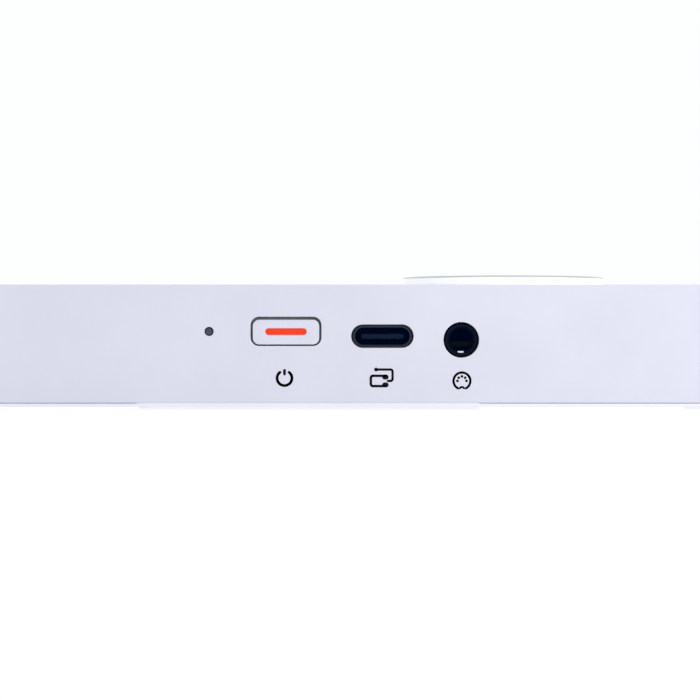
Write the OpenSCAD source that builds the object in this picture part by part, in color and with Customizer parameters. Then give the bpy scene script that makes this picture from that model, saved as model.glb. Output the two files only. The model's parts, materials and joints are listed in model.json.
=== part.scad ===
// Slim portable digital piano with thirty-two hinged keys. A raised deck behind the keys holds
// the speakers, a volume dial and three buttons, and the ports are along the rear edge.
// +X is the player's right, +Y the rear and +Z up. The origin is on the floor, under the middle.
// Heights in the modules count from a base line, which lies foot_sink under the floor.

/* [Body] */
// Depth of the body, front to rear
body_d = 134; // [133:1:136]
// Height of the deck above the base line
deck_top = 19.7; // [19.6:0.1:19.9]
// Thickness of the outer walls
wall = 2; // [1.8:0.1:2.2]
// Thickness of the deck plate
deck_t = 2.2; // [2:0.1:2.3]
// Depth of the raised deck
deck_d = 40; // [39.5:0.5:40]
// Height of the cheeks at the ends of the keys
cheek_top = 14.2; // [14:0.1:15]
// Width of each cheek
cheek_w = 9.95; // [9.5:0.05:11]
// Radius of the upright corners of the body
corner_r = 6; // [4:0.5:8]

/* [Keys] */
// Number of keys, starting at F and ending at C
key_count = 32; // [32]
// Distance from one white key to the next
pitch = 23.5; // [23:0.1:24]
// Gap between neighbouring white keys
key_gap = 1; // [0.8:0.1:1.2]
// Height of the white keys above the base line
white_top = 13.6; // [13.4:0.1:13.6]
// Height of the black keys above the base line
black_top = 19.4; // [18.5:0.1:19.6]
// Width of a black key at its base
black_w = 12; // [11.6:0.1:12.2]
// Length of a black key that shows in front of the deck
black_len = 58.2; // [56:0.1:60]
// Height of the keys' hinge rod above the base line
rod_z = 5.8; // [5.8:0.1:6]
// Radius of the keys' hinge rod
rod_r = 1; // [0.9:0.05:1.1]

/* [Controls] */
// Radius of the volume dial
dial_r = 16; // [14:0.5:16]
// Height of the dial's face above the deck
dial_rise = 1.5; // [1.2:0.1:2]
// Radius of the round function buttons
button_r = 5; // [4:0.5:5.5]
// Width of the power button's face
power_w = 10.35; // [9.5:0.05:10.5]
// Height of the power button's face
power_h = 3.9; // [3.6:0.1:3.9]

/* [Ports] */
// Bore radius of the audio-style jack
jack_r = 1.8; // [1.75:0.05:1.8]
// Depth of the jack's bore
jack_depth = 11.65; // [11:0.05:11.7]
// Outer width of the data port's metal shell
usb_w = 8.94; // [8.9:0.02:8.94]
// Outer height of the data port's metal shell
usb_h = 3.16; // [3.14:0.02:3.16]

/* [Hidden] */
$fn = 48;
cut = 0.05;
foot_sink = 0.45;

// Body levels and edges
white_count = 7 * floor(key_count / 12) + 5;
bed_w = white_count * pitch + 0.6;
body_w = bed_w + 2 * cheek_w;
y_rear = body_d / 2;
y_front = -y_rear;
y_deck = y_rear - deck_d;
z_bottom = 0.8;
z_rim = 1.32;
z_floor = 2.6;
z_seam = 1.4;
z_deck = deck_top - deck_t;
rail_top = 12;
rail_d = 3.5;
rail_lip_z = 10.4;
inner_w = body_w - 2 * wall;
inner_d = body_d - 2 * wall;

// Hinge and key levels
rod_y = y_deck + 15;
lug_r = 2.8;
lug_w = 8;
lug_bore_r = rod_r + 0.06;
skirt_z = 7.1;
skirt_t = 1.4;
key_plate_t = 1.8;
white_front = y_front + rail_d + 0.9;
black_back = y_deck - 0.8;
black_front = black_back - black_len;
slot_front = black_front - 1;
slot_w = black_w + 1.6;
tail_end = y_deck + 6;
tail_step_y = y_deck + 4;
plunger_y = -4;

// Layout behind the keys
screw_y = 52;
deck_screw_x = [-body_w / 2 + 7.5, -112, -48.6, 48.6, 112, body_w / 2 - 7.5];
cheek_screw = [bed_w / 2 + 5, -55];
stake_x = [-200, -120, -40, 40, 120, 200];
stake_y = y_deck + 4;
speaker_x = 80;
deck_mid_y = 47;
foot_rows = [-60, 60];
foot_d = 8;
feet = [[-182.3, 32.4], [0, 225.8], [182.3, 32.4]];

// Controls
dial_pos = [-170.6, deck_mid_y];
ring_h = 0.25;
button_x = [146, 164, 182];
button_y = 50;
button_board_z = 11.8;
button_board_screw_x = [155, 173];
button_board_screw_y = 57;

// Rear ports, each an [x, z] centre on the rear wall
power_pos = [-136.1, 12.42];
led_pos = [-124.2, 12.45];
usb_pos = [-151, 11.72];
jack_pos = [-163.2, 11.15];

// Main board, hung under the deck
board_top = usb_pos[1] - usb_h / 2;
board_t = 1.2;
board_x = [-204, -116];
board_y = [46.5, 64.6];
board_screws = [[-200, 56], [-156.8, 50.5], [-121, 52]];

// The thirty-two keys, counted up from F
letters = ["f", "f", "g", "g", "a", "a", "b", "c", "c", "d", "d", "e"];
sharps = [false, true, false, true, false, true, false, false, true, false, true, false];
black_shift = [0, -3.25, 0, 0, 0, 3.25, 0, 0, -2.17, 0, 2.17, 0];
whites_below = [0, 1, 1, 2, 2, 3, 3, 4, 5, 5, 6, 6];

function is_black(k) = k >= 0 && k < key_count && sharps[k % 12];
function octave(k) = 3 + floor((k + 5) / 12);
function key_name(k) = str("key_", letters[k % 12], octave(k), is_black(k) ? "_sharp" : "");
function white_x(k) = (7 * floor(k / 12) + whites_below[k % 12] - white_count / 2) * pitch;
function black_x(k) = white_x(k) + black_shift[k % 12];
function tail_left(k) =
    is_black(k) ? black_x(k) - black_w / 2
    : is_black(k - 1) ? black_x(k - 1) + slot_w / 2
    : white_x(k) + key_gap / 2;
function tail_right(k) =
    is_black(k) ? black_x(k) + black_w / 2
    : is_black(k + 1) ? black_x(k + 1) - slot_w / 2
    : white_x(k) + pitch - key_gap / 2;
function tail_x(k) = (tail_left(k) + tail_right(k)) / 2;

// Frame ears stand midway between the keys' hinge lugs, and one stands outside each end lug
end_ear = 6.9;
ear_x = [
    tail_x(0) - end_ear,
    for (k = [1 : key_count - 1]) (tail_x(k - 1) + tail_x(k)) / 2,
    tail_x(key_count - 1) + end_ear
];

// ---- Shared outlines and helpers ----

// Points along an arc about a centre, from one angle to another
function arc(cx, cy, r, from, to, steps = 8) =
    [for (i = [0 : steps]) let (a = from + (to - from) * i / steps) [cx + r * cos(a), cy + r * sin(a)]];

module box(lo, hi) {
    translate(lo) cube(hi - lo);
}

module rounded_rect(w, d, r) {
    square([w - 2 * r, d], center = true);
    square([w, d - 2 * r], center = true);
    for (sx = [-1, 1], sy = [-1, 1])
        translate([sx * (w / 2 - r), sy * (d / 2 - r)]) circle(r);
}

module stadium(w, d) {
    square([w - d, d], center = true);
    for (s = [-1, 1])
        translate([s * (w - d) / 2, 0]) circle(d / 2);
}

// Extrudes an outline from z = lo up to z = hi
module slab(lo, hi) {
    translate([0, 0, lo]) linear_extrude(hi - lo) children();
}

// Extrudes an [x, z] outline at a port's centre forwards from y = hi to y = lo
module port(pos, lo, hi) {
    translate([pos[0], hi, pos[1]]) rotate([90, 0, 0]) linear_extrude(hi - lo) children();
}

// Extrudes a [y, z] outline sideways, centred on x = mid
module side_slab(mid, w) {
    translate([mid - w / 2, 0, 0]) rotate([90, 0, 90]) linear_extrude(w) children();
}

module post(x, y, r, lo, hi) {
    translate([x, y, lo]) cylinder(r = r, h = hi - lo);
}

// Moves a part from the base line down to where it stands
module set_down() {
    translate([0, 0, -foot_sink]) children();
}

// ---- Housing ----

// Side outline of the surround: the rounded front, the cheeks, and a hollow sweep up to the deck
module surround_profile() {
    rail_r = cheek_top - rail_top;
    sweep_r = deck_top - cheek_top;
    sweep_land = 1.2;
    polygon(concat(
        [[y_front, z_seam]],
        arc(y_front + rail_r, rail_top, rail_r, 180, 90),
        arc(y_deck - sweep_land - sweep_r, deck_top, sweep_r, 270, 360, 12),
        [[y_deck, deck_top], [y_deck, z_seam]]
    ));
}

// Cheeks at both ends of the keys and the rail in front of them, open to the keys
module key_surround() {
    color("#dfe1ee")
    difference() {
        union() {
            difference() {
                intersection() {
                    slab(z_seam, deck_top) rounded_rect(body_w, body_d, corner_r);
                    side_slab(0, body_w) surround_profile();
                }
                // Opening for the keys, and the front rail below the cheeks
                box([-bed_w / 2, y_front + rail_d, 0], [bed_w / 2, y_deck + 1, deck_top + 1]);
                box([-bed_w / 2, y_front - 1, rail_top],
                    [bed_w / 2, y_front + rail_d + cut, deck_top + 1]);
                box([-bed_w / 2, y_front + wall, 0],
                    [bed_w / 2, y_front + rail_d + cut, rail_lip_z]);
                // Hollow cheeks
                for (s = [-1, 1])
                    translate([s * (bed_w / 2 + cheek_w / 2), 0, 0])
                        box([-cheek_w / 2 + wall, y_front + wall, 0],
                            [cheek_w / 2 - wall, y_deck + 1, cheek_top - wall]);
                // The cheeks' inner walls stop just above the bottom cover
                box([-inner_w / 2, y_front + wall, 0], [inner_w / 2, y_deck + 1, z_floor + 0.15]);
            }
            for (s = [-1, 1])
                post(s * cheek_screw[0], cheek_screw[1], 3.02, z_floor, cheek_top - wall + cut);
        }
        for (s = [-1, 1])
            post(s * cheek_screw[0], cheek_screw[1], 1.27, 0, 10.5);
    }
}

module cover_shell() {
    difference() {
        intersection() {
            slab(z_seam, deck_top) rounded_rect(body_w, body_d, corner_r);
            box([-body_w / 2, y_deck, 0], [body_w / 2, y_rear, deck_top]);
        }
        // Space under the deck
        intersection() {
            slab(0, z_deck) rounded_rect(inner_w, inner_d, corner_r - wall);
            box([-inner_w / 2, y_deck - 1, 0], [inner_w / 2, y_rear - wall, z_deck]);
        }
    }
}

module cover_bosses() {
    for (x = deck_screw_x)
        post(x, screw_y, 2.9, z_floor, z_deck + cut);
    for (p = board_screws)
        post(p[0], p[1], 2.2, board_top, z_deck + cut);
    for (x = button_board_screw_x)
        post(x, button_board_screw_y, 2.2, button_board_z + board_t, z_deck + cut);
}

module cover_holes() {
    for (x = deck_screw_x)
        post(x, screw_y, 1.27, 0, 10.5);
    for (p = board_screws)
        post(p[0], p[1], 0.82, board_top - cut, board_top + 4.5);
    for (x = button_board_screw_x)
        post(x, button_board_screw_y, 0.82, button_board_z, button_board_z + board_t + 3.5);
    // Rear ports
    port([power_pos[0], power_pos[1] + 0.05], y_rear - wall - 1, y_rear + 1)
        rounded_rect(power_w + 0.6, power_h + 0.6, 1.3);
    port(led_pos, y_rear - wall - 1, y_rear + 1) circle(0.7);
    port(usb_pos, y_rear - wall - 1, y_rear + 1) stadium(usb_w + 0.71, usb_h + 0.44);
    port(jack_pos, y_rear - wall - 1, y_rear + 1) circle(2.75);
    // Dial recess and its stem hole
    post(dial_pos[0], dial_pos[1], dial_r + 0.4, deck_top - 0.6, deck_top + 1);
    post(dial_pos[0], dial_pos[1], 3.3, z_deck - 1, deck_top);
    for (x = button_x)
        post(x, button_y, button_r + 0.3, z_deck - 1, deck_top + 1);
    // Stepped openings for the speaker grilles
    for (s = [-1, 1])
        translate([s * speaker_x, deck_mid_y, 0]) {
            slab(deck_top - 1.5, deck_top + 1) stadium(56, 28);
            slab(z_deck - 1, deck_top - 1) stadium(50, 24);
        }
}

// The deck with the rear edge and its ports
module top_cover() {
    color("#dfe1ee")
    difference() {
        union() {
            cover_shell();
            cover_bosses();
        }
        cover_holes();
    }
}

module bottom_cover() {
    guide_top = 8.5;
    color("#d4d7e4") {
        difference() {
            union() {
                slab(z_bottom, z_rim) rounded_rect(body_w, body_d, corner_r);
                slab(z_bottom, z_floor)
                    rounded_rect(inner_w - 0.4, inner_d - 0.4, corner_r - wall);
                // Land that closes the seam under the ports
                box([-166, y_rear - wall, z_rim - cut], [-113, y_rear, z_seam - 0.01]);
            }
            for (y = foot_rows, f = feet)
                translate([f[0], y, 0]) slab(0, z_bottom + 0.4) stadium(f[1] + 0.3, foot_d + 0.3);
            for (x = deck_screw_x) {
                post(x, screw_y, 2.9, 0, 1.75);
                post(x, screw_y, 1.5, 0, z_floor + 1);
            }
            for (s = [-1, 1]) {
                post(s * cheek_screw[0], cheek_screw[1], 2.9, 0, 1.75);
                post(s * cheek_screw[0], cheek_screw[1], 1.5, 0, z_floor + 1);
            }
        }
        // Blades that steer each key from inside its skirts
        for (k = [0 : key_count - 1]) {
            w = is_black(k) ? 8.3 : pitch - key_gap - 2 * skirt_t - 0.7;
            x = is_black(k) ? black_x(k) : white_x(k) + pitch / 2;
            y = is_black(k) ? -25 : -44;
            box([x - w / 2, y - 0.8, z_floor - cut], [x + w / 2, y + 0.8, guide_top]);
        }
        // Stakes through the key frame, and two ribs under the contact board
        for (x = stake_x) {
            post(x, stake_y, 1.45, z_floor - cut, 4);
            post(x, stake_y, 2.4, 4, 4.5);
        }
        for (y = [-12, 4])
            box([-bed_w / 2 + 3, y - 0.8, z_floor - cut], [bed_w / 2 - 3, y + 0.8, z_floor + 0.6]);
    }
}

module rubber_feet() {
    edge = 0.15;
    color("#c9ccd6")
    for (y = foot_rows, f = feet)
        translate([f[0], y, 0]) {
            slab(foot_sink, foot_sink + edge) stadium(f[1] - 2 * edge, foot_d - 2 * edge);
            slab(foot_sink + edge, z_bottom + 0.4) stadium(f[1], foot_d);
        }
}

// A screw driven upwards, with a flat head and a cross recess
module screw(head_r, head_t, shank_r, length) {
    arm_w = head_r * 0.3;
    difference() {
        union() {
            cylinder(r = head_r, h = head_t);
            cylinder(r = shank_r, h = head_t + length);
        }
        for (a = [0, 90])
            rotate(a) box([-head_r * 0.6, -arm_w / 2, -cut], [head_r * 0.6, arm_w / 2, head_t * 0.6]);
    }
}

module screws() {
    color("#8e9096") {
        for (x = deck_screw_x)
            translate([x, screw_y, 0.95]) screw(2.6, 0.8, 1.25, 8);
        for (s = [-1, 1])
            translate([s * cheek_screw[0], cheek_screw[1], 0.95]) screw(2.6, 0.8, 1.25, 8);
        for (p = board_screws)
            translate([p[0], p[1], board_top - board_t - 1]) screw(1.7, 1, 0.8, 5);
        for (x = button_board_screw_x)
            translate([x, button_board_screw_y, button_board_z - 1]) screw(1.7, 1, 0.8, 4);
    }
}

// ---- Keys and their mechanism ----

// Arm and hinge lug at the back of every key, in [y, z]
module key_arm(x) {
    side_slab(x, lug_w) {
        polygon([
            [tail_end - 2, skirt_z], [tail_end + 3, rod_z - 1.2], [rod_y, rod_z - 1.2],
            [rod_y, rod_z + lug_r], [tail_end + 3.5, rod_z + lug_r],
            [tail_end + 1.2, white_top - 2.6], [tail_end - 2, white_top - 2.6]
        ]);
        translate([rod_y, rod_z]) circle(lug_r);
    }
}

module key_bore(x) {
    side_slab(x, lug_w + 1) translate([rod_y, rod_z]) circle(lug_bore_r);
}

module key_plunger(x, plate_z) {
    post(x, plunger_y, 1.6, 8.15, plate_z + 0.3);
}

module white_key(k) {
    left = white_x(k) + key_gap / 2;
    right = white_x(k) + pitch - key_gap / 2;
    plate_z = white_top - key_plate_t;
    front_lip = 1;
    front_wall = 1.6;
    color("#f1f2f6")
    difference() {
        union() {
            box([left, white_front, skirt_z], [right, slot_front, white_top]);
            box([tail_left(k), white_front, skirt_z], [tail_right(k), tail_step_y, white_top]);
            box([tail_left(k), white_front, skirt_z], [tail_right(k), tail_end, white_top - 2.6]);
            key_arm(tail_x(k));
        }
        difference() {
            union() {
                box([left + skirt_t, white_front + front_lip + front_wall, 0],
                    [right - skirt_t, slot_front - skirt_t, plate_z]);
                box([tail_left(k) + skirt_t, white_front + front_lip + front_wall, 0],
                    [tail_right(k) - skirt_t, y_deck - 2, plate_z]);
            }
            key_plunger(tail_x(k), plate_z);
        }
        // The front lip stands over a set-back front wall
        box([left - 1, white_front - 1, 0], [right + 1, white_front + front_lip, white_top - 2]);
        key_bore(tail_x(k));
    }
}

module black_key(k) {
    x = black_x(k);
    top_w = 10;
    top_edge = 0.6;
    slope_y = 4.5;
    plate_z = black_top - 3;
    color("#1b1b1f")
    difference() {
        union() {
            intersection() {
                port([x, 0], black_front, black_back)
                    polygon([
                        [-black_w / 2, skirt_z], [black_w / 2, skirt_z], [black_w / 2, white_top],
                        [top_w / 2, black_top - top_edge], [top_w / 2 - top_edge, black_top],
                        [top_edge - top_w / 2, black_top], [-top_w / 2, black_top - top_edge],
                        [-black_w / 2, white_top]
                    ]);
                side_slab(x, black_w + 1)
                    polygon([
                        [black_front, skirt_z], [black_front, white_top - 0.6],
                        [black_front + slope_y - 1, black_top - 1.4],
                        [black_front + slope_y + 0.8, black_top],
                        [black_back, black_top], [black_back, skirt_z]
                    ]);
            }
            box([x - black_w / 2, black_back - 4, skirt_z], [x + black_w / 2, tail_step_y, white_top]);
            box([x - black_w / 2, black_back - 4, skirt_z], [x + black_w / 2, tail_end, white_top - 2.6]);
            key_arm(x);
        }
        difference() {
            box([x - 4.5, black_front + 3.8, 0], [x + 4.5, y_deck - 5, plate_z]);
            key_plunger(x, plate_z);
        }
        key_bore(x);
    }
}

module piano_key(k) {
    if (is_black(k))
        black_key(k);
    else
        white_key(k);
}

// Ladder under the keys' tails: a staked plate, ears round the rod, and a rear rail
module key_frame() {
    half = bed_w / 2 + 0.9;
    plate_back = rod_y - lug_r - 0.8;
    rail_front = rod_y + lug_r + 0.5;
    ear_t = 2;
    color("#5b5f69")
    difference() {
        union() {
            box([-half, y_deck + 1, z_floor], [half, plate_back, 4]);
            box([-half, rail_front, z_floor], [half, rail_front + 1.5, 6.5]);
            for (x = ear_x)
                side_slab(x, ear_t) {
                    polygon([
                        [plate_back - 2, z_floor], [rail_front + 1, z_floor],
                        [rail_front + 1, rod_z], [rod_y + 2.3, rod_z + 0.6],
                        [rod_y - 2.3, rod_z + 0.6], [plate_back - 2, 4]
                    ]);
                    translate([rod_y, rod_z]) circle(2.4);
                }
        }
        side_slab(0, 2 * half + 2) translate([rod_y, rod_z]) circle(rod_r + 0.02);
        for (x = stake_x)
            post(x, stake_y, 1.5, 0, 5);
    }
}

module hinge_rod() {
    color("#b4b7bd")
    translate([ear_x[0] - 1.5, rod_y, rod_z])
        rotate([0, 90, 0]) cylinder(r = rod_r, h = ear_x[key_count] - ear_x[0] + 3);
}

// Rubber strip with one contact dome under each key
module dome_strip() {
    base_top = 5.2;
    color("#9a9ea8") {
        box([-bed_w / 2 + 2, plunger_y - 5, 4.4], [bed_w / 2 - 2, plunger_y + 5, base_top]);
        for (k = [0 : key_count - 1])
            translate([tail_x(k), plunger_y, base_top - cut]) {
                cylinder(r1 = 3.6, r2 = 2.5, h = 1.9);
                cylinder(r = 1.9, h = 8 - base_top + cut);
            }
    }
}

module key_board() {
    color("#2c5c46")
    box([-bed_w / 2 + 2, -14, z_floor + 0.6], [bed_w / 2 - 2, 6, 4.4]);
}

// A rest strip above the keys' tails and a stop strip under their fronts
module felt_strips() {
    half = bed_w / 2 - 0.7;
    color("#8c2f36") {
        box([-half, y_deck + 0.5, white_top + 0.05], [half, tail_step_y, z_deck]);
        box([-half, -56, z_floor], [half, -50, z_floor + 0.9]);
    }
}

// ---- Electronics ----

// The main board with its chips, hung under the deck, and the board under the function buttons
module control_boards() {
    color("#2c5c46") {
        main_board();
        button_board();
    }
}

module main_board() {
    chips = [[[-191, 51], [9, 9, 1.1]], [[-129, 52], [5, 6, 1]], [[-145, 49.2], [3.4, 1.8, 0.8]],
             [[-184, 61], [3.2, 1.6, 0.9]], [[-140, 54], [3.2, 1.6, 0.9]]];
    notch_w = 6.9;
    union() {
        difference() {
            box([board_x[0], board_y[0], board_top - board_t], [board_x[1], board_y[1], board_top]);
            translate([jack_pos[0], 0, 0])
                box([-notch_w / 2, 53.4, 0], [notch_w / 2, board_y[1] + 1, board_top + 1]);
            for (p = board_screws)
                post(p[0], p[1], 1.1, 0, board_top + 1);
        }
        for (c = chips)
            translate([c[0][0] - c[1][0] / 2, c[0][1] - c[1][1] / 2, board_top - cut])
                cube([c[1][0], c[1][1], c[1][2] + cut]);
        // Two capacitors and the battery's socket
        for (y = [50, 61.5])
            post(-200.8, y, 2.4, board_top - cut, board_top + 5);
        box([-121, 57, board_top - cut], [-117, 64, board_top + 4.5]);
    }
}

module usb_shell() {
    back = y_rear - 7.75;
    front = y_rear - 0.4;
    color("#5f636b")
    union() {
        difference() {
            union() {
                port(usb_pos, back, front) stadium(usb_w, usb_h);
                port(usb_pos, front - 0.45, front) stadium(usb_w + 0.36, usb_h + 0.3);
            }
            port(usb_pos, back + 0.6, front + 1) stadium(usb_w - 0.6, usb_h - 0.6);
        }
        for (s = [-1, 1], y = [back + 0.6, front - 3.6])
            translate([usb_pos[0] + s * (usb_w / 2 + 0.3), y, board_top])
                box([-0.5, 0, 0], [0.5, 1.4, 1.6]);
    }
}

module usb_tongue() {
    color("#14161f")
    port(usb_pos, y_rear - 7.15, y_rear - 1) rounded_rect(6.69, 0.7, 0.2);
}

module jack_body() {
    mouth = y_rear - 0.2;
    back = mouth - jack_depth - 1.35;
    bore_end = mouth - 0.35;
    color("#17181d")
    difference() {
        union() {
            port(jack_pos, back, y_rear - wall - 0.3) rounded_rect(6.4, 5.2, 0.5);
            port(jack_pos, back, mouth) circle(2.5);
            translate([jack_pos[0], 0, board_top])
                box([-4.6, back + 2, 0], [4.6, y_rear - wall - 1.5, 0.8]);
        }
        port(jack_pos, bore_end - jack_depth, mouth + 1) circle(jack_r);
        translate([jack_pos[0], mouth, jack_pos[1]])
            rotate([90, 0, 0]) cylinder(r1 = jack_r + 0.33, r2 = jack_r, h = 0.35);
        jack_slots(0.02);
    }
}

// Spring contacts lie in slots just outside the bore, below and above it
module jack_slots(room) {
    for (s = [[-1, y_rear - 11.6, y_rear - 0.9], [1, y_rear - 9.2, y_rear - 4]])
        translate([jack_pos[0], 0, jack_pos[1] + s[0] * (jack_r + 0.17)])
            box([-0.55 - room, s[1] - room, -0.15 - room], [0.55 + room, s[2] + room, 0.15 + room]);
}

module jack_contacts() {
    color("#d9dade")
    jack_slots(0);
}

module power_button() {
    flange_y = y_rear - wall - 0.3;
    color("#dcdeeb")
    difference() {
        union() {
            port(power_pos, flange_y - 1.4, y_rear) rounded_rect(power_w, power_h, 1);
            translate([power_pos[0], 0, power_pos[1]])
                box([-6.4, flange_y - 1.2, -power_h / 2], [6.4, flange_y, 2.6]);
            port(power_pos, flange_y - 1.8, flange_y) circle(1.4);
        }
        port(power_pos, y_rear - 2.2, y_rear + 1) stadium(6.44, 1.06);
    }
}

module power_light() {
    color("#ff5a2d")
    port(power_pos, y_rear - 2.2, y_rear - 0.02) stadium(6.4, 1.02);
}

// One switch behind the power button and one under each function button
module tact_switches() {
    plunger_end = y_rear - wall - 2.8;
    switch_top = button_board_z + board_t;
    color("#2a2b31") {
        translate([power_pos[0], 0, board_top])
            box([-3, plunger_end - 4.6, 0], [3, plunger_end - 0.9, 3.9]);
        port(power_pos, plunger_end - 1, plunger_end) circle(1.2);
        for (x = button_x) {
            box([x - 3, button_y - 3, switch_top], [x + 3, button_y + 3, switch_top + 1.2]);
            post(x, button_y, 1.5, switch_top + 1.15, switch_top + 1.7);
        }
    }
}

// Light pipe from a lamp on the board to the rear face
module status_light() {
    color("#45454f")
    union() {
        port(led_pos, y_rear - 6, y_rear - 0.05) circle(0.66);
        translate([led_pos[0], 0, board_top])
            box([-1.2, y_rear - 7.5, 0], [1.2, y_rear - 5.5, 3.1]);
    }
}

module battery() {
    color("#3b4450")
    translate([0, 55.8, 0]) slab(z_floor, 12.9) rounded_rect(88, 17, 2);
}

module speakers() {
    color("#26272c")
    for (s = [-1, 1])
        translate([s * speaker_x, deck_mid_y, 0]) {
            slab(16, z_deck) difference() {
                stadium(57, 31);
                stadium(49, 23);
            }
            slab(12.6, 16) stadium(50, 24);
            slab(9.4, 12.6) circle(11);
            slab(16, 16.8) stadium(20, 11);
        }
}

module speaker_grilles() {
    hole_pitch = 3.2;
    row_pitch = hole_pitch * sqrt(3) / 2;
    color("#c6c9d6")
    for (s = [-1, 1])
        translate([s * speaker_x, deck_mid_y, 0])
            slab(deck_top - 1.5, deck_top - 0.1) difference() {
                stadium(55.7, 27.7);
                for (row = [-3 : 3], col = [-8 : 8]) {
                    x = (col + (row % 2 == 0 ? 0 : 0.5)) * hole_pitch;
                    y = row * row_pitch;
                    if (norm([max(0, abs(x) - 14), y]) < 11)
                        translate([x, y]) circle(0.9);
                }
            }
}

// ---- Controls on the deck ----

module volume_dial() {
    face = deck_top + dial_rise;
    color("#eceef5")
    translate([dial_pos[0], dial_pos[1], 0]) {
        difference() {
            union() {
                slab(deck_top - 0.35, face - ring_h) circle(dial_r);
                slab(face - ring_h - cut, face - 0.06) circle(dial_r - 0.85);
                slab(z_deck - 4, deck_top - 0.3) circle(3);
            }
            // Finger dimple near the edge
            translate([0, 9.6, face + 5.6]) sphere(6.6);
        }
    }
}

module dial_ring() {
    face = deck_top + dial_rise;
    color("#b9bcc6")
    translate([dial_pos[0], dial_pos[1], 0])
        slab(face - ring_h, face) difference() {
            circle(dial_r);
            circle(dial_r - 0.8);
        }
}

module volume_pot() {
    bottom = 12.3;
    color("#6a6e76")
    translate([dial_pos[0], dial_pos[1], 0])
        union() {
            difference() {
                slab(bottom, z_deck) rounded_rect(13, 13, 1);
                post(0, 0, 3.08, bottom + 0.8, z_deck + 1);
            }
            for (x = [-2.5, 0, 2.5])
                post(x, 5.5, 0.4, board_top, bottom + 0.2);
        }
}

// A round cap, a flange under the deck and a stem towards its switch
module function_button(x) {
    color("#e6e8f1")
    translate([x, button_y, 0])
        union() {
            slab(z_deck - 1.3, deck_top + 0.3) circle(button_r);
            slab(z_deck - 1.3, z_deck - 0.3) circle(button_r + 1);
            slab(z_deck - 2, z_deck - 1.2) circle(1.6);
        }
}

module button_board() {
    difference() {
        box([138, 44, button_board_z], [190, 60.5, button_board_z + board_t]);
        for (x = button_board_screw_x)
            post(x, button_board_screw_y, 1.1, 0, deck_top);
    }
}

for (k = [0 : key_count - 1])
    set_down() piano_key(k);
set_down() top_cover();
set_down() key_surround();
set_down() bottom_cover();
set_down() rubber_feet();
set_down() screws();
set_down() key_frame();
set_down() hinge_rod();
set_down() dome_strip();
set_down() key_board();
set_down() felt_strips();
set_down() control_boards();
set_down() usb_shell();
set_down() usb_tongue();
set_down() jack_body();
set_down() jack_contacts();
set_down() power_button();
set_down() power_light();
set_down() tact_switches();
set_down() status_light();
set_down() battery();
set_down() speakers();
set_down() speaker_grilles();
set_down() volume_dial();
set_down() dial_ring();
set_down() volume_pot();
set_down() function_button(button_x[0]);  // button_sound
set_down() function_button(button_x[1]);  // button_minus
set_down() function_button(button_x[2]);  // button_plus
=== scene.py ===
"""Slim portable digital piano: the visual model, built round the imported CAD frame.

Lengths are in metres, in the part's own frame: +X the player's right, +Y to the rear, +Z up.
"""
import json
import math

import bmesh
import bpy
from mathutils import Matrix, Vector


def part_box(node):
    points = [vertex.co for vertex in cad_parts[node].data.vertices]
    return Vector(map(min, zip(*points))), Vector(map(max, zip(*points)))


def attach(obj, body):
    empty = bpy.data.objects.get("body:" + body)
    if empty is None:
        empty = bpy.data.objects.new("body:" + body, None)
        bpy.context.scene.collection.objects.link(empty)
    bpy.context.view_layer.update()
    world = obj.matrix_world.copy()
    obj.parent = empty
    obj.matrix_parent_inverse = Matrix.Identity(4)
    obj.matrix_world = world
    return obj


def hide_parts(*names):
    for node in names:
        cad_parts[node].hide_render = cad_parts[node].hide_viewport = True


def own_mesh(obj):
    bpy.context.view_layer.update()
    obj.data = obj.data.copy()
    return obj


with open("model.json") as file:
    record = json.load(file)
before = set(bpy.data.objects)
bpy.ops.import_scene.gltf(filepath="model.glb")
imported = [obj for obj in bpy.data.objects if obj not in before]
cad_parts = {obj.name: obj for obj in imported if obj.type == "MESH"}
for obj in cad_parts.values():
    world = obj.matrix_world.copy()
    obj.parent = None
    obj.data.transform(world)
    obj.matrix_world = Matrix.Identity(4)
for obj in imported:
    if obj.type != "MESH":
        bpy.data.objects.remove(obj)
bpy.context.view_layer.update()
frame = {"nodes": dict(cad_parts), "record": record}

MM = 0.001
TINY = 0.01 * MM  # how near to a plane counts as on it
NODES = frame["nodes"]
BODY_OF = {n: b for b, ns in frame["record"]["behaviour"]["bodies"].items() for n in ns}
SLOT_OF = {s["node"]: s["material_slot"] for s in frame["record"]["subparts"]}
KEYS = [n for n in NODES if SLOT_OF[n] in ("white_keys", "black_keys")]


def middle(node):
    lo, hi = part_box(node)
    return (lo + hi) / 2


# ---- Places read from the frame ----

COVER_LO, COVER_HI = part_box("top_cover")
REAR = COVER_HI.y
DECK = COVER_HI.z
DECK_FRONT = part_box("felt_strips")[1].y - 4 * MM  # the felt reaches 4 mm in under the deck
POWER = middle("power_light")
LED = Vector((middle("status_light").x, REAR, POWER.z + 0.03 * MM))
USB = middle("usb_tongue")
JACK = middle("jack_contacts")
DIAL = middle("dial_ring")
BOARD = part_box("status_light")[0].z  # the main board's top, where the ports stand
DIAL_R = (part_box("dial_ring")[1].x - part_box("dial_ring")[0].x) / 2
RING_INNER_R = DIAL_R - 0.8 * MM
CORNER_R = 6 * MM  # the housing's upright corners
CORNER_REACH = CORNER_R + 0.5 * MM
DOME_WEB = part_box("dome_strip")[0].z + 0.8 * MM


# ---- Materials ----

def material(name, **values):
    """A Principled material with its constant socket values set, and its shader node."""
    mat = bpy.data.materials.new(name)
    mat.use_nodes = True
    shader = mat.node_tree.nodes["Principled BSDF"]
    for socket, value in values.items():
        shader.inputs[socket.replace("_", " ")].default_value = value
    return mat, shader


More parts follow.
